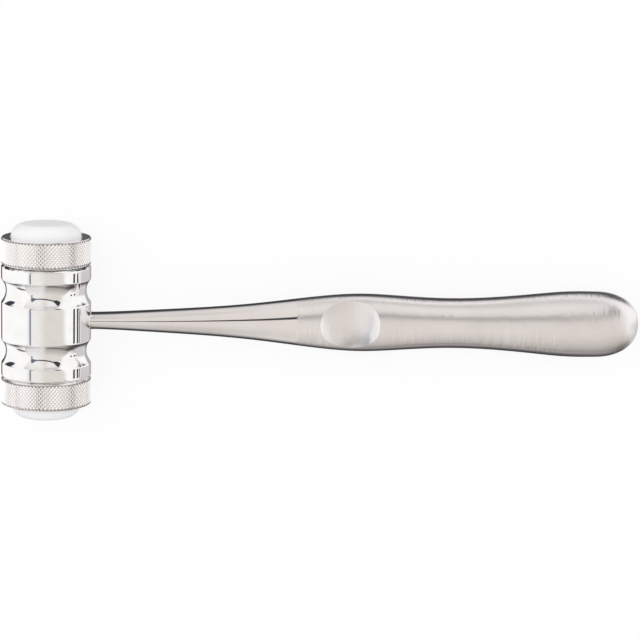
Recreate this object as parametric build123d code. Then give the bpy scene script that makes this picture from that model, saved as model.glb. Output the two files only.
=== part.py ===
from build123d import *
import math
import os

# A steel surgical mallet with screwed-on nylon faces, lying as it comes to rest.
# The head's axis runs along Y and the handle along +X. The rims of the head stand on z = 0,
# and the handle slopes down from the head until the butt touches z = 0 too.
# All sizes are millimetres.

# Head
land_radius = 16.7          # middle band, rims and rings share this radius
band_half_length = 7.0      # half of the plain middle band
rim_inner = 15.85           # from the head's middle to where a rim begins
rim_outer = 21.05           # from the head's middle to a rim's outer shoulder
cove_depth = 1.72           # a round-bottomed groove between band and rim
shoulder_chamfer = 0.6
head_center_height = land_radius

# Thread between spigot and ring, drawn plain at its running diameters
thread_radius = 14.6
thread_clearance = 0.05
spigot_end = 27.0           # from the head's middle to a spigot's flat end
spigot_chamfer = 0.5
relief_width = 1.0          # undercut at the spigot's root, where the thread runs out
relief_depth = 0.7

# Knurled ring
ring_inner_end = 21.25      # just short of the rim's shoulder, so the face is what is clamped
ring_outer_end = 31.5
ring_chamfer = 0.6
ring_edge_break = 0.3
lip_thickness = 1.95

# Nylon face
face_radius = 13.2
face_stand = 5.1            # how far it stands out of its ring
face_edge_round = 4.6
flange_radius = 14.5
face_clearance = 0.06       # round the face in the lip, and from flange to lip
ring_bore_radius = thread_radius + thread_clearance
flange_top = ring_outer_end - lip_thickness - face_clearance

# Handle, measured from the head's axis. Each station is how far out it is, half its width along
# the head's axis, half its depth, and how full its oval is. An ellipse has a fullness of 0.552.
neck_root = (11.0, 3.1, 4.6, 0.56)
handle_stations = [
    (19.5, 3.2, 4.6, 0.56),
    (36.0, 3.95, 4.75, 0.56),
    (58.0, 5.25, 5.0, 0.57),
    (76.0, 6.75, 5.35, 0.59),
    (90.0, 8.4, 5.9, 0.62),
    (103.0, 9.95, 6.4, 0.65),
    (118.0, 10.9, 6.9, 0.67),
    (132.0, 10.3, 7.1, 0.66),
    (150.0, 9.45, 7.1, 0.64),
    (168.0, 10.0, 7.3, 0.62),
    (184.0, 11.4, 7.9, 0.61),
    (198.0, 12.5, 8.4, 0.6),
]
butt_start = 206.5          # where the round end begins
butt_tip = 223.3
butt_half_width = 12.5
butt_half_depth = 8.4
butt_fullness = 0.6
butt_steps = (0, 18, 34, 48, 60, 70, 79, 87)    # degrees round the end, from its widest section
flare_radius = 2.8          # the neck's fillet onto the middle band
flare_sink = 0.1            # the fillet starts this far under the band, so its edge isn't a feather
tang_radius = 2.9
tang_end = 5.5              # the tang stops this far short of the head's axis
tang_clearance = 0.03
tang_join = 24.0

# Thumb rests, one dish on each broad side. The handle's surface is higher at a dish's two ends
# than at its two sides, so each pair has its own height above the handle's middle plane.
thumb_x = 113.0
thumb_half_length = 11.2
thumb_half_width = 9.0
thumb_end_height = 6.7
thumb_side_height = 4.6
thumb_bottom_height = 3.7
thumb_ball_depth = 12.0     # half the height of the flattened ball that a dish is part of

# The slope at which the butt touches the ground while the rims carry the head.
butt_center_x = butt_start
handle_slope = math.degrees(math.asin((head_center_height - butt_half_depth) / butt_center_x))


def turned(profile):
    """A solid of revolution about the head's axis, from a closed outline of radius and height."""
    return revolve(make_face(profile), Axis.Y)


def cove_arc(inner, outer):
    """The round bottom of a cove between two places along the head."""
    return ThreePointArc((land_radius, inner), (land_radius - cove_depth, (inner + outer) / 2),
                         (land_radius, outer))


def half_outline():
    """One half of the head's outline, from its middle out to the spigot's end."""
    neck_radius = thread_radius - relief_depth
    return Curve() + [
        Polyline((0, 0), (land_radius, 0), (land_radius, band_half_length)),
        cove_arc(band_half_length, rim_inner),
        Polyline(
            (land_radius, rim_inner),
            (land_radius, rim_outer - shoulder_chamfer),
            (land_radius - shoulder_chamfer, rim_outer),
            (neck_radius, rim_outer),
            (neck_radius, rim_outer + relief_width),
            (thread_radius, rim_outer + relief_width + relief_depth),
            (thread_radius, spigot_end - spigot_chamfer),
            (thread_radius - spigot_chamfer, spigot_end),
            (0, spigot_end),
            (0, 0),
        ),
    ]


def make_head_body():
    half = turned(half_outline().edges())
    body = half + mirror(half, about=Plane.XZ)
    hole = Plane.YZ.offset(tang_end) * Cylinder(
        tang_radius + tang_clearance, land_radius, align=(Align.CENTER, Align.CENTER, Align.MIN))
    return body - hole


def make_ring():
    """The retaining ring at the +Y end: a bored sleeve with an inward lip at its outer end."""
    lip_radius = face_radius + face_clearance
    lip_bottom = ring_outer_end - lip_thickness
    profile = Polyline(
        (ring_bore_radius, ring_inner_end),
        (land_radius - ring_chamfer, ring_inner_end),
        (land_radius, ring_inner_end + ring_chamfer),
        (land_radius, ring_outer_end - ring_edge_break),
        (land_radius - ring_edge_break, ring_outer_end),
        (lip_radius, ring_outer_end),
        (lip_radius, lip_bottom),
        (ring_bore_radius, lip_bottom),
        close=True,
    )
    return turned(profile.edges())


def make_face_piece():
    """The nylon face at the +Y end: a flanged plug with a flat middle and a big round edge."""
    top = ring_outer_end + face_stand
    profile = Curve() + [
        Polyline(
            (face_radius - face_edge_round, top), (0, top), (0, spigot_end),
            (flange_radius, spigot_end), (flange_radius, flange_top),
            (face_radius, flange_top), (face_radius, top - face_edge_round)),
        TangentArc((face_radius, top - face_edge_round),
                   (face_radius - face_edge_round, top), tangent=(0, 1)),
    ]
    return turned(profile.edges())


def section(x, half_width, half_depth, fullness):
    """An oval section of the handle, made of four alike quarters."""
    wide, deep = half_width * fullness, half_depth * fullness
    quarter = Bezier((half_width, 0), (half_width, deep), (wide, half_depth), (0, half_depth))
    half = [quarter, mirror(quarter, about=Plane.YZ)]
    outline = half + [mirror(edge, about=Plane.XZ) for edge in half]
    return Plane.YZ.offset(x) * make_face(outline)


def butt_sections():
    """The ovals round the butt's end, which shrink as the sections of an ellipsoid do."""
    length = butt_tip - butt_start
    return [
        section(
            butt_start + length * math.sin(math.radians(angle)),
            butt_half_width * math.cos(math.radians(angle)),
            butt_half_depth * math.cos(math.radians(angle)),
            butt_fullness)
        for angle in butt_steps
    ]


def make_shaft():
    """The handle's body from inside the head to the butt, before its flare and thumb rests."""
    sections = [section(*neck_root)] + [section(*station) for station in handle_stations]
    return loft(sections + butt_sections())


def add_flare(shaft):
    """Blend the neck onto the middle band with a fillet, then open its end to fit the band."""
    post_length = 2 * band_half_length
    post = Rot(90, 0, 0) * Cylinder(land_radius - flare_sink, post_length)
    joined = shaft + post
    root = joined.edges().filter_by(
        lambda edge: 12 < edge.center().X < 20 and edge.bounding_box().size.Y < 9
        and edge.bounding_box().size.Z < 12)
    joined = fillet(root, flare_radius)
    return joined - Rot(90, 0, 0) * Cylinder(land_radius, 2 * post_length)


def thumb_cutter(side):
    """A flattened ball whose dip forms the dish on one broad side."""
    center_height = thumb_bottom_height + thumb_ball_depth

    def spread(height):
        """How wide the ball is at a height, as a share of its widest."""
        return math.sqrt(1 - ((center_height - height) / thumb_ball_depth) ** 2)

    ball = scale(Sphere(1), by=(
        thumb_half_length / spread(thumb_end_height),
        thumb_half_width / spread(thumb_side_height),
        thumb_ball_depth))
    return Pos(thumb_x, 0, side * center_height) * ball


def make_handle():
    handle = add_flare(make_shaft())
    handle = handle - thumb_cutter(1) - thumb_cutter(-1)
    tang = Plane.YZ.offset(tang_end) * Cylinder(
        tang_radius, tang_join - tang_end, align=(Align.CENTER, Align.CENTER, Align.MIN))
    return handle + tang


def placed(piece, slope=0.0):
    """Lift a piece to the head's height, turned down by the handle's slope about the head's axis."""
    return Pos(0, 0, head_center_height) * Rot(0, slope, 0) * piece


head_body = placed(make_head_body(), handle_slope)
handle = placed(make_handle(), handle_slope)
upper_ring = placed(make_ring())
upper_face = placed(make_face_piece())
lower_ring = mirror(upper_ring, about=Plane.XZ)
lower_face = mirror(upper_face, about=Plane.XZ)

nodes = {
    "head_body": head_body,
    "handle": handle,
    "upper_ring": upper_ring,
    "upper_face": upper_face,
    "lower_ring": lower_ring,
    "lower_face": lower_face,
}

# The origin is under the middle of the whole mallet, on the ground.
boxes = [piece.bounding_box() for piece in nodes.values()]
middle_x = (min(box.min.X for box in boxes) + max(box.max.X for box in boxes)) / 2
lowest = min(box.min.Z for box in boxes)

os.makedirs("parts", exist_ok=True)
for name, piece in nodes.items():
    export_step(Pos(-middle_x, 0, -lowest) * piece, f"parts/{name}.step")
print("head axis at x", round(-middle_x, 3), "ground lift", round(-lowest, 4))
print("handle slope", round(handle_slope, 3), "degrees")
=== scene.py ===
from math import asin, atan2, cos, degrees, hypot, pi, radians, sin, sqrt

import bmesh
import bpy
import numpy as np
from mathutils import Matrix, Vector


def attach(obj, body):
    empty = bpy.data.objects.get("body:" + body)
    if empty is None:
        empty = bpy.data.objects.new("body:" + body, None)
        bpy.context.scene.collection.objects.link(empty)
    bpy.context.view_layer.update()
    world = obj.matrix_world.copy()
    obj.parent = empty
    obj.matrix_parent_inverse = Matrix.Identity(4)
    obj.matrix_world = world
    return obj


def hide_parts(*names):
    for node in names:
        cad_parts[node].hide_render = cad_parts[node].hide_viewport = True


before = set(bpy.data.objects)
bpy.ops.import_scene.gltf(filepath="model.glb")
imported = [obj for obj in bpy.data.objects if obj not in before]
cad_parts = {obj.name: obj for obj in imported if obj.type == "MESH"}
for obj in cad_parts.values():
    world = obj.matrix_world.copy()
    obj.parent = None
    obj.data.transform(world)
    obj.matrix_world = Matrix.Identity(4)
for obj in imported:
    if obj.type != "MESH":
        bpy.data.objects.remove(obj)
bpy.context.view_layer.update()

# Head
# One solid piece of stainless steel, turned on a lathe and mirror polished. It has a plain middle
# band, a round-bottomed cove and a rim at each side, and a threaded spigot at each end.
mm = 0.001
head_at = Vector((-103.207 * mm, 0, 16.7 * mm))
land_radius = 16.7 * mm
band_half = 7.0 * mm
rim_inner = 15.85 * mm
rim_outer = 21.05 * mm
cove_depth = 1.72 * mm
cove_edge_round = 0.35 * mm
shoulder_chamfer = 0.6 * mm
thread_crest = 14.6 * mm
thread_depth = 0.75 * mm
thread_pitch = 1.5 * mm
thread_start = 22.75 * mm
thread_end = 26.5 * mm
thread_fade = 0.4 * mm        # the thread runs out to nothing over this length
crest_flat = 0.25             # how much of each crest is left flat, against the V's depth
relief_radius = 13.85 * mm
spigot_end = 27.0 * mm
spigot_chamfer = 0.5 * mm
shoulder_break = 0.12 * mm
facets_round = 288


class Outline:
    """A wire beside the head's axis, drawn point by point, that a spin makes a round piece."""

    def __init__(self, bm, radius, y):
        self.bm = bm
        self.end = bm.verts.new(head_at + Vector((radius, y, 0)))

    def to(self, radius, y, parts=1):
        """Draw a straight stretch, in one or more parts."""
        start = self.end.co.copy()
        stop = head_at + Vector((radius, y, 0))
        for part in range(1, parts + 1):
            vert = self.bm.verts.new(start.lerp(stop, part / parts))
            self.bm.edges.new((self.end, vert))
            self.end = vert
        return self

    def arc(self, radius, y, turn, parts):
        """Draw an arc about a centre, through a turn in degrees, towards +Y if it is positive."""
        spun = bmesh.ops.spin(
            self.bm, geom=[self.end], cent=head_at + Vector((radius, y, 0)), axis=(0, 0, 1),
            dvec=(0, 0, 0), angle=radians(turn), steps=parts, use_merge=False, use_duplicate=False)
        self.end = [item for item in spun["geom_last"] if isinstance(item, bmesh.types.BMVert)][0]
        return self


def spin_outline(bm, facets):
    """Turn everything in the bmesh once round the head's axis and close the seam and the poles."""
    bmesh.ops.spin(
        bm, geom=bm.verts[:] + bm.edges[:], cent=head_at, axis=(0, 1, 0), dvec=(0, 0, 0),
        angle=2 * pi, steps=facets, use_merge=True, use_duplicate=False)
    bmesh.ops.remove_doubles(bm, verts=bm.verts[:], dist=1e-6)


def radius_of(co):
    """How far a point is from the head's axis."""
    return hypot(co.x - head_at.x, co.z - head_at.z)


def set_radius(vert, radius):
    """Move a point straight out from the head's axis, or in towards it."""
    share = radius / radius_of(vert.co)
    vert.co.x = head_at.x + (vert.co.x - head_at.x) * share
    vert.co.z = head_at.z + (vert.co.z - head_at.z) * share


def hoops(bm, radius, y):
    """The edges of the two circles at a radius and at a distance along the axis, either way."""
    return [
        edge for edge in bm.edges
        if all(abs(radius_of(v.co) - radius) < 2e-6 and abs(abs(v.co.y) - y) < 2e-6
               for v in edge.verts)]


def break_edges(bm, edges, size, segments):
    """Round some edges."""
    bmesh.ops.bevel(
        bm, geom=edges, offset=size, offset_type="OFFSET", segments=segments, profile=0.5,
        affect="EDGES", material=-1)


def cut_thread(bm, crest, depth, low, high):
    """Sink a right-hand V thread into the wall at the crest's radius, run out at both ends."""
    for vert in bm.verts:
        away = vert.co - head_at
        reach = abs(away.y)
        if abs(radius_of(vert.co) - crest) < 2e-5 and low - 1e-6 < reach < high + 1e-6:
            phase = away.y / thread_pitch - atan2(away.x, away.z) / (2 * pi)
            ramp = 1 - abs(2 * (phase % 1) - 1)
            groove = max(0, ramp * (1 + crest_flat) - crest_flat)
            fade = max(0, min(1, (reach - low) / thread_fade, (high - reach) / thread_fade))
            set_radius(vert, radius_of(vert.co) * (1 - depth * groove * fade / crest))


def make_piece(name, bm, sharp=35):
    """Make the bmesh an object, smooth but for the corners that are over an angle in degrees."""
    bmesh.ops.recalc_face_normals(bm, faces=bm.faces[:])
    for face in bm.faces:
        face.smooth = True
    for edge in bm.edges:
        edge.smooth = len(edge.link_faces) == 2 and edge.calc_face_angle(0) < radians(sharp)
    mesh = bpy.data.meshes.new(name)
    bm.to_mesh(mesh)
    bm.free()
    piece = bpy.data.objects.new(name, mesh)
    bpy.context.scene.collection.objects.link(piece)
    return piece


bm = bmesh.new()
cove_middle = (band_half + rim_inner) / 2
cove_half = (rim_inner - band_half) / 2
cove_radius = (cove_half ** 2 + cove_depth ** 2) / (2 * cove_depth)
cove_turn = degrees(asin(cove_half / cove_radius))
outline = Outline(bm, land_radius, 0)
outline.to(land_radius, band_half, 6)
outline.arc(land_radius - cove_depth + cove_radius, cove_middle, -2 * cove_turn, 40)
outline.to(land_radius, rim_outer - shoulder_chamfer, 4)
outline.to(land_radius - shoulder_chamfer, rim_outer)
outline.to(relief_radius, rim_outer)
outline.to(relief_radius, thread_start - (thread_crest - relief_radius))
outline.to(thread_crest, thread_start)
outline.to(thread_crest, thread_end, 36)
outline.to(thread_crest - spigot_chamfer, spigot_end)
outline.to(0, spigot_end)
spin_outline(bm, facets_round)
bmesh.ops.mirror(
    bm, geom=bm.verts[:] + bm.edges[:] + bm.faces[:], matrix=Matrix.Identity(4),
    merge_dist=1e-6, axis="Y")
cove_edges = hoops(bm, land_radius, band_half) + hoops(bm, land_radius, rim_inner)
break_edges(bm, cove_edges, cove_edge_round, 5)
break_edges(bm, hoops(bm, land_radius, rim_outer - shoulder_chamfer), shoulder_break, 3)
cut_thread(bm, thread_crest, thread_depth, thread_start, thread_end)
head = make_piece("head", bm)


class Shade:
    """Wraps a socket of a node tree, so that shader maths reads as plain arithmetic."""

    def __init__(self, tree, socket=None):
        self.tree = tree
        self.socket = socket

    def node(self, kind, settings=None, inputs=None, output=0):
        """Add a node: first its settings, then its sockets, each from a number or another Shade."""
        new = self.tree.nodes.new("ShaderNode" + kind)
        for name, value in (settings or {}).items():
            setattr(new, name, value)
        for name, value in (inputs or {}).items():
            if isinstance(value, Shade):
                self.tree.links.new(value.socket, new.inputs[name])
            else:
                new.inputs[name].default_value = value
        return Shade(self.tree, new.outputs[output])

    def maths(self, operation, *values):
        return self.node("Math", {"operation": operation}, dict(enumerate(values)))

    def __add__(self, other):
        return self.maths("ADD", self, other)

    def __sub__(self, other):
        return self.maths("SUBTRACT", self, other)

    def __rsub__(self, other):
        return self.maths("SUBTRACT", other, self)

    def __mul__(self, other):
        return self.maths("MULTIPLY", self, other)

    def rise(self, low, high):
        """0 below low, 1 above high, and smooth between them."""
        return self.node("MapRange", {"interpolation_type": "SMOOTHSTEP"},
                         {"Value": self, "From Min": low, "From Max": high})

    def mix(self, factor, first, second):
        """A colour between two colours."""
        colours = {"Factor": factor, 6: first, 7: second}
        return self.node("Mix", {"data_type": "RGBA"}, colours, output=2)


def new_material(name):
    """An empty material, a Shade to build its nodes with, and its output's surface socket."""
    material = bpy.data.materials.new(name)
    material.use_nodes = True
    material.node_tree.nodes.clear()
    end = material.node_tree.nodes.new("ShaderNodeOutputMaterial")
    return material, Shade(material.node_tree), end.inputs["Surface"]


def axis_coordinates(shade):
    """A point's place from the head's middle, its distance from the axis and its place along it."""
    at = shade.node("TexCoord", output="Object")
    place = shade.node("VectorMath", {"operation": "SUBTRACT"}, {0: at, 1: head_at})
    across = shade.node("VectorMath", {"operation": "MULTIPLY"}, {0: place, 1: (1, 0, 1)})
    radius = shade.node("VectorMath", {"operation": "LENGTH"}, {0: across}, output="Value")
    along = shade.node("SeparateXYZ", inputs={0: place}, output="Y")
    return place, radius, along


polished, shade, surface = new_material("polished_head_steel")
place, radius, along = axis_coordinates(shade)
marks = shade.node("TexNoise", {"noise_dimensions": "1D"}, {
    "W": along * 9000 + radius * 9000, "Detail": 3.0})
smear = shade.node("TexNoise", inputs={"Vector": place, "Scale": 220.0, "Detail": 4.0})
drawn_out = shade.node("VectorMath", {"operation": "MULTIPLY"}, {0: place, 1: (300, 3500, 300)})
scratch = shade.node("TexNoise", inputs={"Vector": drawn_out, "Scale": 1.0, "Detail": 2.0})
bump = shade.node("Bump", inputs={
    "Height": marks * 0.6 + scratch * 0.4, "Strength": 0.35, "Distance": 1.2e-6})
steel = shade.node("BsdfPrincipled", inputs={
    "Base Color": shade.mix(
        smear.rise(0.35, 0.7), (0.86, 0.855, 0.85, 1), (0.82, 0.81, 0.80, 1)),
    "Metallic": 1.0,
    "Roughness": smear.rise(0.3, 0.75) * 0.035 + 0.035,
    "Normal": bump})
shade.tree.links.new(steel.socket, surface)
head.data.materials.append(polished)
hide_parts("head_body")
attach(head, "head")

# Rings
# Two stainless steel rings, turned, diamond knurled on a lathe and left bright. Each screws onto a
# spigot by hand, with a right-hand thread, and holds a face with the lip at its outer end.
ring_inner_end = 21.25 * mm
ring_outer_end = 31.5 * mm
ring_chamfer = 0.55 * mm
ring_edge_break = 0.25 * mm
lip_radius = 13.26 * mm
lip_thickness = 1.95 * mm
lip_break = 0.15 * mm
ring_bore = 14.65 * mm
bore_chamfer = 0.3 * mm
knurls_round = 75
knurl_rows = 6
knurl_depth = 0.24 * mm
knurl_wall = 0.46 * mm        # how far a diamond's side slopes in from its edge
knurl_clearance = 0.03 * mm   # the tops stay this far inside the head's radius
knurl_root = land_radius - knurl_depth - knurl_clearance
outer_face_radius = land_radius - ring_edge_break - 0.1 * mm
ring_middle = (ring_inner_end + ring_outer_end) / 2
knurl_low = ring_inner_end + ring_chamfer
knurl_high = ring_outer_end - ring_edge_break
bore_thread_depth = 0.5 * mm
bore_thread_start = ring_inner_end + 0.4 * mm
bore_thread_end = spigot_end + 0.3 * mm


def make_ring(name):
    """The ring at the +Y end: its outside is cut into diamonds, then carried round to its bore."""
    bm = bmesh.new()
    Outline(bm, knurl_root, knurl_low).to(knurl_root, knurl_high, knurl_rows)
    spin_outline(bm, knurls_round)
    squares = bm.edges[:]
    bmesh.ops.poke(bm, faces=bm.faces[:])
    bmesh.ops.dissolve_edges(
        bm, edges=[edge for edge in squares if edge.is_valid and len(edge.link_faces) == 2],
        use_verts=False)
    for vert in bm.verts:
        set_radius(vert, knurl_root)
    bmesh.ops.recalc_face_normals(bm, faces=bm.faces[:])
    if bm.faces[0].normal.dot(bm.faces[0].calc_center_median() - head_at) < 0:
        bmesh.ops.reverse_faces(bm, faces=bm.faces[:])
    rims = [edge for edge in bm.edges if edge.is_boundary]
    bmesh.ops.subdivide_edges(bm, edges=rims, cuts=2)
    for vert in bm.verts:
        if vert.is_boundary:
            set_radius(vert, knurl_root)
    bmesh.ops.inset_individual(
        bm, faces=bm.faces[:], thickness=knurl_wall, depth=knurl_depth, use_even_offset=True)

    def carry(loop, radius, y, parts=1):
        """Extrude a hoop of edges to a new radius and a new place along the axis."""
        start_radius = radius_of(loop[0].verts[0].co)
        start_y = loop[0].verts[0].co.y
        for part in range(1, parts + 1):
            out = bmesh.ops.extrude_edge_only(bm, edges=loop)["geom"]
            share = part / parts
            for vert in [item for item in out if isinstance(item, bmesh.types.BMVert)]:
                set_radius(vert, start_radius + (radius - start_radius) * share)
                vert.co.y = start_y + (y - start_y) * share
            loop = [item for item in out if isinstance(item, bmesh.types.BMEdge)
                    and item.is_boundary]
        return loop

    lip_bottom = ring_outer_end - lip_thickness
    outer = [edge for edge in bm.edges if edge.is_boundary and edge.verts[0].co.y > ring_middle]
    outer = carry(outer, outer_face_radius, ring_outer_end)
    outer = carry(outer, lip_radius + lip_break, ring_outer_end, 4)
    outer = carry(outer, lip_radius, ring_outer_end - lip_break)
    outer = carry(outer, lip_radius, lip_bottom)
    carry(outer, ring_bore, lip_bottom)
    inner = [edge for edge in bm.edges if edge.is_boundary and edge.verts[0].co.y < ring_middle]
    inner = carry(inner, knurl_root - ring_chamfer, ring_inner_end)
    inner = carry(inner, ring_bore + bore_chamfer, ring_inner_end)
    inner = carry(inner, ring_bore, ring_inner_end + bore_chamfer)
    carry(inner, ring_bore, lip_bottom, 48)
    bmesh.ops.remove_doubles(bm, verts=bm.verts[:], dist=1e-7)
    cut_thread(bm, ring_bore, -bore_thread_depth, bore_thread_start, bore_thread_end)
    return make_piece(name, bm, 25)


upper_ring = make_ring("upper_ring")
lower_ring = make_ring("lower_ring")
half_turn = (
    Matrix.Translation(head_at) @ Matrix.Rotation(pi, 4, "X") @ Matrix.Translation(-head_at))
lower_ring.data.transform(half_turn)

bright, shade, surface = new_material("knurled_ring_steel")
place, radius, along = axis_coordinates(shade)
marks = shade.node("TexNoise", {"noise_dimensions": "1D"}, {"W": radius * 7000, "Detail": 3.0})
grain = shade.node("TexNoise", inputs={"Vector": place, "Scale": 4200.0, "Detail": 3.0})
mottle = shade.node("TexNoise", inputs={"Vector": place, "Scale": 160.0, "Detail": 3.0})
sunk = 1 - radius.rise(land_radius - 0.24 * mm, land_radius - 0.12 * mm)
turned_face = 1 - radius.rise(16.0 * mm, 16.3 * mm)
groove = sunk * (1 - turned_face)
bump = shade.node("Bump", inputs={
    "Height": marks * turned_face + grain * (1 - turned_face) * 0.5, "Strength": 0.5,
    "Distance": 5e-6})
# Painted shade: the knurl's grooves are coloured darker and browner, by an amount that the mottle
# varies. The mottle also varies the roughness all over the ring.
steel = shade.node("BsdfPrincipled", inputs={
    "Base Color": shade.mix(
        groove * (mottle * 0.4 + 0.6), (0.99, 0.98, 0.975, 1), (0.80, 0.75, 0.73, 1)),
    "Metallic": 1.0,
    "Roughness": mottle * 0.08 + groove * 0.1 + 0.15 - turned_face * 0.05,
    "Normal": bump})
shade.tree.links.new(steel.socket, surface)
for ring, node in ((upper_ring, "upper_ring"), (lower_ring, "lower_ring")):
    ring.data.materials.append(bright)
    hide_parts(node)
    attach(ring, node)

# Faces
# Two plugs of white nylon, turned from bar. Each has a flat middle, a big round edge and a flange
# that its ring clamps against the spigot.
face_radius = 13.2 * mm
face_top = 36.6 * mm
face_edge_round = 5.4 * mm
flange_radius = 14.5 * mm
flange_top = 29.49 * mm
flange_break = 0.2 * mm


def make_face(name):
    """The face at the +Y end, turned from its outline."""
    bm = bmesh.new()
    outline = Outline(bm, 0, spigot_end)
    outline.to(flange_radius, spigot_end).to(flange_radius, flange_top)
    outline.to(face_radius, flange_top).to(face_radius, face_top - face_edge_round)
    outline.arc(face_radius - face_edge_round, face_top - face_edge_round, 90, 24)
    outline.to(0, face_top, 12)
    spin_outline(bm, 192)
    break_edges(bm, hoops(bm, flange_radius, flange_top), flange_break, 3)
    return make_piece(name, bm, 50)


upper_face = make_face("upper_face")
lower_face = make_face("lower_face")
lower_face.data.transform(half_turn)

nylon, shade, surface = new_material("white_nylon")
place, radius, along = axis_coordinates(shade)
marks = shade.node("TexNoise", {"noise_dimensions": "1D"}, {
    "W": radius * 2600 + along * 900, "Detail": 2.0})
cloud = shade.node("TexNoise", inputs={"Vector": place, "Scale": 130.0, "Detail": 3.0})
pores = shade.node("TexNoise", inputs={"Vector": place, "Scale": 2500.0, "Detail": 2.0})
bump = shade.node("Bump", inputs={
    "Height": marks * 0.6 + pores * 0.4, "Strength": 0.5, "Distance": 8e-6})
plastic = shade.node("BsdfPrincipled", inputs={
    "Base Color": shade.mix(
        cloud.rise(0.3, 0.7), (0.885, 0.88, 0.888, 1), (0.86, 0.855, 0.865, 1)),
    "Roughness": cloud * 0.12 + 0.36,
    "Subsurface Weight": 0.25,
    "Subsurface Radius": (1.0, 1.0, 1.0),
    "Subsurface Scale": 0.0015,
    "IOR": 1.53,
    "Normal": bump})
shade.tree.links.new(plastic.socket, surface)
for face, node in ((upper_face, "upper_face"), (lower_face, "lower_face")):
    face.data.materials.append(nylon)
    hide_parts(node)
    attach(face, node)

# Handle
# One stainless steel forging, ground oval all along and set into the head. The neck is polished
# bright, the grip and butt are brushed satin, and a dish for the thumb is in each broad side.
butt_oval = (12.5, 8.4, 0.6)
stations = [      # from the head's axis: distance, half width, half depth, fullness of the oval
    (11.0, 3.1, 4.6, 0.56), (19.5, 3.2, 4.6, 0.56), (36.0, 3.95, 4.75, 0.56),
    (58.0, 5.25, 5.0, 0.57), (76.0, 6.75, 5.35, 0.59), (90.0, 8.4, 5.9, 0.62),
    (103.0, 9.95, 6.4, 0.65), (118.0, 10.9, 6.9, 0.67), (132.0, 10.3, 7.1, 0.66),
    (150.0, 9.45, 7.1, 0.64), (168.0, 10.0, 7.3, 0.62), (184.0, 11.4, 7.9, 0.61),
    (198.0, *butt_oval), (206.5, *butt_oval), (215.0, *butt_oval)]
butt_start = 206.5
butt_tip = 223.26
butt_bluntness = 2.2          # an ellipse has 2
butt_touch = 8.45             # from the handle's middle line down to where the butt touches
head_radius = 16.7
neck_root = 19.0              # where the neck's oval is taken for the join to the head
root_sink = 1.5               # how far the handle's first row lies inside the head
flare_radius = 0.4
handle_slope = asin((head_radius - butt_touch) / butt_start)
thumb_x = 113.0
thumb_half_length = 11.2
thumb_half_width = 9.0
thumb_end_height = 6.7
thumb_side_height = 4.6
thumb_bottom_height = 3.7
thumb_ball_depth = 12.0
flare_rows = 10
shaft_rows = 150
butt_rows = 26


def spline_bends(values):
    """The second derivatives of a natural cubic spline through the values at the stations."""
    places = np.array([station[0] for station in stations])
    step = np.diff(places)
    slope = np.diff(values) / step
    matrix = np.eye(len(places))
    right = np.zeros(len(places))
    for i in range(1, len(places) - 1):
        matrix[i, i - 1:i + 2] = step[i - 1], 2 * (step[i - 1] + step[i]), step[i]
        right[i] = 6 * (slope[i] - slope[i - 1])
    return np.linalg.solve(matrix, right)


columns = [np.array(column) for column in zip(*stations)]
bends = [spline_bends(column) for column in columns]


def station_at(x):
    """Half width, half depth and fullness at a distance from the head's axis."""
    places = columns[0]
    i = int(np.clip(np.searchsorted(places, x) - 1, 0, len(places) - 2))
    step = places[i + 1] - places[i]
    b = (x - places[i]) / step
    a = 1 - b
    return [
        a * values[i] + b * values[i + 1]
        + ((a ** 3 - a) * bend[i] + (b ** 3 - b) * bend[i + 1]) * step ** 2 / 6
        for values, bend in zip(columns[1:], bends[1:])]


def oval(turn, half_width, half_depth, fullness):
    """A point of the handle's section, which is made of four alike Bezier quarters."""
    quarter = (turn / (pi / 2)) % 2
    t = quarter if quarter <= 1 else 2 - quarter
    s = 1 - t
    wide = half_width * (s ** 3 + 3 * s * s * t + 3 * s * t * t * fullness)
    deep = half_depth * (3 * s * s * t * fullness + 3 * s * t * t + t ** 3)
    return wide if cos(turn) >= 0 else -wide, deep if sin(turn) >= 0 else -deep


def shaft_point(turn, row):
    """A point of the level handle, in millimetres, from a turn round it and a row along it."""
    radius = head_radius + flare_radius
    wide, deep = oval(turn, *station_at(neck_root))
    reach = hypot(wide, deep)
    lift = abs(deep) / reach
    start = sqrt(radius ** 2 - ((reach + flare_radius) * lift) ** 2)
    if row <= flare_rows:
        share = 1 - max(row - 1, 0) / (flare_rows - 1)
        angle = share * atan2(start, (reach + flare_radius) * lift)
        out = (reach + flare_radius - flare_radius * cos(angle)) / reach
        x = start - flare_radius * sin(angle) - (root_sink if row == 0 else 0)
        return x, wide * out, deep * out
    row -= flare_rows
    if row <= shaft_rows:
        share = row / shaft_rows
        x = start + (butt_start - start) * share
        wide, deep = oval(turn, *station_at(x))
        return x, wide, deep
    angle = (row - shaft_rows) / butt_rows * pi / 2
    share = max(cos(angle), 0) ** (2 / butt_bluntness)
    half_width, half_depth, fullness = butt_oval
    wide, deep = oval(turn, half_width * share, half_depth * share, fullness)
    return butt_start + (butt_tip - butt_start) * sin(angle) ** (2 / butt_bluntness), wide, deep


bm = bmesh.new()
rows = flare_rows + shaft_rows + butt_rows
bmesh.ops.create_cone(
    bm, cap_ends=True, cap_tris=False, segments=112, radius1=1, radius2=1, depth=rows,
    matrix=Matrix.Translation((0, 0, rows / 2)))
long_edges = [edge for edge in bm.edges if abs(edge.verts[0].co.z - edge.verts[1].co.z) > 1]
bmesh.ops.subdivide_edges(bm, edges=long_edges, cuts=rows - 1)
for vert in bm.verts:
    vert.co = Vector(shaft_point(atan2(vert.co.y, vert.co.x), round(vert.co.z)))
bmesh.ops.remove_doubles(bm, verts=bm.verts[:], dist=1e-4)
bmesh.ops.recalc_face_normals(bm, faces=bm.faces[:])
shaft = make_piece("handle", bm, 60)

bm = bmesh.new()


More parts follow.
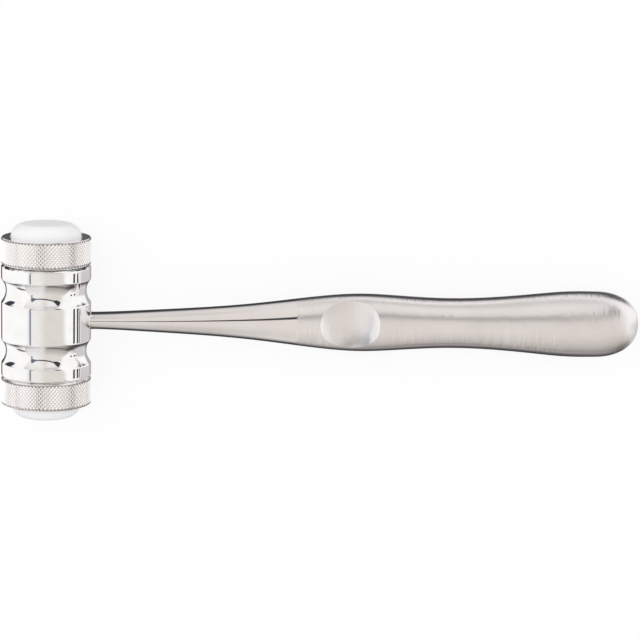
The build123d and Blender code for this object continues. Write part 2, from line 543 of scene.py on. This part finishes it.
def ball_spread(height):
    """How wide a thumb rest's ball is at a height, as a share of its widest."""
    low = thumb_bottom_height + thumb_ball_depth - height
    return sqrt(1 - (low / thumb_ball_depth) ** 2)


for side in (1, -1):
    ball = bmesh.ops.create_uvsphere(bm, u_segments=128, v_segments=96, radius=1)["verts"]
    bmesh.ops.scale(bm, verts=ball, vec=(
        thumb_half_length / ball_spread(thumb_end_height),
        thumb_half_width / ball_spread(thumb_side_height), thumb_ball_depth))
    bmesh.ops.translate(
        bm, verts=ball, vec=(thumb_x, 0, side * (thumb_bottom_height + thumb_ball_depth)))
balls = make_piece("thumb_cutters", bm, 60)
cut = shaft.modifiers.new("thumb_rests", "BOOLEAN")
cut.operation = "DIFFERENCE"
cut.solver = "EXACT"
cut.object = balls
hollowed = bpy.data.meshes.new_from_object(
    shaft.evaluated_get(bpy.context.evaluated_depsgraph_get()))
bpy.data.objects.remove(shaft)
bpy.data.objects.remove(balls)
bm = bmesh.new()
bm.from_mesh(hollowed)
onto_head = (
    Matrix.Translation(head_at) @ Matrix.Rotation(handle_slope, 4, "Y") @ Matrix.Scale(mm, 4))
bmesh.ops.transform(bm, verts=bm.verts[:], matrix=onto_head)
handle = make_piece("handle", bm, 30)

brushed, shade, surface = new_material("handle_steel")
at = shade.node("TexCoord", output="Object")
from_head = shade.node("VectorMath", {"operation": "SUBTRACT"}, {0: at, 1: head_at})
forward = (cos(handle_slope), 0, -sin(handle_slope))
along = shade.node(
    "VectorMath", {"operation": "DOT_PRODUCT"}, {0: from_head, 1: forward}, output="Value")
grip = along.rise(93.0 * mm, 94.2 * mm)
butt = along.rise(185 * mm, 212 * mm)
drawn_out = shade.node(
    "VectorMath", {"operation": "MULTIPLY"}, {0: from_head, 1: (5200, 130, 130)})
stroke = shade.node("TexNoise", inputs={"Vector": drawn_out, "Scale": 1.0, "Detail": 3.0})
cloud = shade.node("TexNoise", inputs={"Vector": from_head, "Scale": 70.0, "Detail": 3.0})
lean = (stroke - 0.5) * (grip * 0.55 + 0.02)
leant = shade.node("VectorMath", {"operation": "SCALE"}, {0: forward, "Scale": lean})
flat_normal = shade.node("NewGeometry", output="Normal")
leant = shade.node("VectorMath", {"operation": "ADD"}, {0: flat_normal, 1: leant})
leant = shade.node("VectorMath", {"operation": "NORMALIZE"}, {0: leant})
steel = shade.node("BsdfPrincipled", inputs={
    "Base Color": shade.mix(
        cloud.rise(0.3, 0.7), (0.85, 0.82, 0.815, 1), (0.81, 0.78, 0.775, 1)),
    "Metallic": 1.0,
    "Roughness": grip * 0.2 + butt * 0.05 + cloud * 0.03 + 0.05,
    "Normal": leant})
shade.tree.links.new(steel.socket, surface)

handle.data.materials.append(brushed)
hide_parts("handle")
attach(handle, "head")

# Floor
# A plain white sheet of studio paper that the mallet lies on. It isn't part of the object.
bm = bmesh.new()
bmesh.ops.create_grid(bm, x_segments=1, y_segments=1, size=3)
floor = make_piece("floor", bm)
paper, shade, surface = new_material("studio_paper")
at = shade.node("TexCoord", output="Object")
grain = shade.node("TexNoise", inputs={"Vector": at, "Scale": 900.0, "Detail": 2.0})
sheet = shade.node("BsdfDiffuse", inputs={
    "Color": shade.mix(grain, (0.95, 0.95, 0.95, 1), (0.93, 0.93, 0.932, 1))})
backlight = shade.node("Emission", inputs={"Color": (1, 1, 1, 1), "Strength": 1.0})
seen = shade.node("LightPath", output="Is Camera Ray")
sheet = shade.node("MixShader", inputs={"Fac": seen * 0.86, 1: sheet, 2: backlight})
shade.tree.links.new(sheet.socket, surface)
# The steel doesn't see the paper. Painted shadow in the studio stands in for the paper and its
# shadow around the mallet.
floor.visible_glossy = False
floor.data.materials.append(paper)

# Studio
# Soft white light from all round and above. The steel shows the studio: a dull grey zone overhead
# with a thin dark gap across it, white beside it, and the dark joints between the white screens.
# Below the mallet's level it shows painted shadow in place of the floor.
world = bpy.data.worlds.new("studio")
bpy.context.scene.world = world
world.use_nodes = True
world.node_tree.nodes.clear()
sky_end = world.node_tree.nodes.new("ShaderNodeOutputWorld")
shade = Shade(world.node_tree)
direction = shade.node("TexCoord", output="Generated")
east = shade.node("SeparateXYZ", inputs={0: direction}, output="X")
north = shade.node("SeparateXYZ", inputs={0: direction}, output="Y")
height = shade.node("SeparateXYZ", inputs={0: direction}, output="Z")
around = shade.maths("ARCTAN2", east, height) * degrees(1)
climb = shade.maths("ARCSINE", north) * degrees(1)
tip = shade.maths("ARCTAN2", north, height) * degrees(1)
below = 0 - height
aside = shade.maths("ABSOLUTE", east)
endways = shade.maths("ABSOLUTE", north)


def band(angle, low, high, soft):
    """1 between two angles in degrees, 0 outside, with soft edges."""
    return angle.rise(low - soft, low + soft) * (1 - angle.rise(high - soft, high + soft))


def spot(at_around, at_climb, half_around, half_climb, inner):
    """1 inside an oval patch of the studio, 0 outside, soft from the inner share of its size."""
    across = (around - at_around) * (1 / half_around)
    up = (climb - at_climb) * (1 / half_climb)
    return 1 - shade.maths("SQRT", across * across + up * up).rise(inner, 1.1)


dark = (0.055, 0.055, 0.06, 1)
cool_dark = (0.16, 0.18, 0.24, 1)
white = (1.13, 1.13, 1.13, 1)

# The ceiling is duller to the right, and falls off beyond both ends of the head.
ceiling = shade.mix(around.rise(-20, 8), (0.99, 0.98, 0.965, 1), (0.84, 0.80, 0.755, 1))
ceiling = shade.mix(around.rise(2, 12) * climb.rise(6, 20), ceiling, (0.99, 0.97, 0.955, 1))
eastern = east.rise(-0.08, 0.08) * 0.7 + 0.3
northern_fall = tip.rise(42, 72) * 0.4 + tip.rise(70, 130) * 0.55
southern_fall = (0 - tip).rise(15, 75) * 0.45 + (0 - tip).rise(68, 92) * 0.55
falling = (northern_fall + southern_fall) * eastern
ceiling = shade.mix(falling, ceiling, (0.11, 0.096, 0.085, 1))

# White screens stand at the left and at the right, with a duller wall and side past the right one.
left_screen = 1 - (east * 0.556 + endways * 0.357 + height * 0.451).rise(-0.012, 0.012)
south_right = (east * 0.274 + north * 0.3 - height * 0.27).rise(-0.03, 0.05)
north_right = around.rise(44, 58)
northern = climb.rise(-14, -8)
right_screen = north_right * northern + south_right * (1 - northern)
south_wall = around.rise(70, 110) * (0 - climb).rise(13, 34)
side = band(around, 103, 150, 5) * (1 - climb.rise(-8, 2))
colour = shade.mix(left_screen, ceiling, white)
colour = shade.mix(right_screen, colour, white)
colour = shade.mix(south_wall, colour, (0.45, 0.42, 0.40, 1))
colour = shade.mix(side, colour, (0.72, 0.69, 0.70, 1))

# Three posts at the right, a joint at the left, and a gap across the ceiling, wider at its ends.
posts = band(around, 78, 84, 0.6) + band(around, 90, 96, 0.6) + band(around, 98.5, 101.5, 0.6)
joint = band(around, -38.8, -34.8, 0.7) * band(climb, -18, -5, 2)
gap_middle = around * 0.22 + around * around * 0.0095 + 6.5
gap_half = shade.maths("ABSOLUTE", around).rise(22, 38) * 10 + 3.8
past_gap = shade.maths("ABSOLUTE", climb - gap_middle) - gap_half
gap = (1 - past_gap.rise(-0.8, 0.8)) * band(around, -38.8, 47, 1.0)
gap_tone = shade.mix(around.rise(-30, 5), cool_dark, dark)
colour = shade.mix(posts * band(climb, -14.5, -6.5, 1), colour, (0.07, 0.07, 0.075, 1))
colour = shade.mix(joint, colour, (0.20, 0.21, 0.29, 1))
colour = shade.mix(gap, colour, gap_tone)

# Straight down is painted shadow, the floor's shadow under the mallet as the steel would see it:
# dark on the left and grey on the right. Low down there are three darker patches too.
painted_floor_shadow = shade.mix(east.rise(-0.2, 0.2), dark, (0.5, 0.48, 0.49, 1))
colour = shade.mix(below.rise(0.78, 0.9), colour, painted_floor_shadow)
colour = shade.mix(spot(-122, 24, 28, 9, 0.8), colour, (0.05, 0.055, 0.075, 1))
colour = shade.mix(spot(-84, -41, 26, 6, 0.5), colour, (0.22, 0.20, 0.19, 1))
colour = shade.mix(spot(104, -50, 36, 14, 0.2), colour, (0.12, 0.10, 0.08, 1))

# Painted shadow towards both ends, below the level of the mallet: the floor there in the mallet's
# shadow, which the steel shows dark.
middle = 1 - (aside * 0.9 - endways).rise(-0.25, 0.05)
off_middle = aside.rise(0.15, 0.3)
for shadow in (
        middle * north.rise(0, 0.05) * below.rise(0.3, 0.66),
        middle * (0 - north).rise(0, 0.05) * below.rise(-0.12, 0.5),
        off_middle * climb.rise(42, 55) * below.rise(0.02, 0.22),
        off_middle * climb.rise(16, 28) * below.rise(0.4, 0.6),
        off_middle * climb.rise(30, 40) * below.rise(0.2, 0.35)):
    colour = shade.mix(shadow, colour, dark)
steel_sees = shade.node("Background", inputs={"Color": colour, "Strength": 1.0})
soft_light = shade.node("Background", inputs={"Color": (0.93, 0.93, 0.935, 1), "Strength": 1.0})
glossy = shade.node("LightPath", output="Is Glossy Ray")
sky = shade.node("MixShader", inputs={"Fac": glossy, 1: soft_light, 2: steel_sees})
shade.tree.links.new(sky.socket, sky_end.inputs["Surface"])


def soft_box(name, place, size, power):
    """A square area lamp that faces the mallet and isn't itself seen in the steel."""
    lamp = bpy.data.lights.new(name, "AREA")
    lamp.size = size
    lamp.energy = power
    lamp.specular_factor = 0
    stand = bpy.data.objects.new(name, lamp)
    stand.location = place
    stand.rotation_euler = (-Vector(place)).to_track_quat("-Z", "Y").to_euler()
    stand.visible_glossy = False
    bpy.context.scene.collection.objects.link(stand)


soft_box("overhead_box", (-0.5, 0.5, 1.4), 1.2, 5)

# Camera
# Above the mallet and a little behind its upper face, with the handle running to the right.
look_at = Vector((-0.0008, 0.00085, 0.013))
tilt = radians(10.6)
sideways = radians(1.5)
roll = radians(1.15)
distance = 0.98
picture_width = 0.2406        # how much the picture spans at the mallet
film_width = 36
back = Vector((-sin(sideways), sin(tilt) * cos(sideways), cos(tilt) * cos(sideways))).normalized()
right = Vector((0, 1, 0)).cross(back).normalized()
right.rotate(Matrix.Rotation(roll, 3, back))
up = back.cross(right)
camera_data = bpy.data.cameras.new("camera")
camera_data.sensor_width = film_width
camera_data.lens = film_width * distance / picture_width
camera_data.clip_start = 0.01
camera = bpy.data.objects.new("camera", camera_data)
camera.matrix_world = Matrix((right, up, back)).transposed().to_4x4()
camera.location = look_at + back * distance
bpy.context.scene.collection.objects.link(camera)
bpy.context.scene.camera = camera
bpy.context.scene.view_settings.view_transform = "Standard"
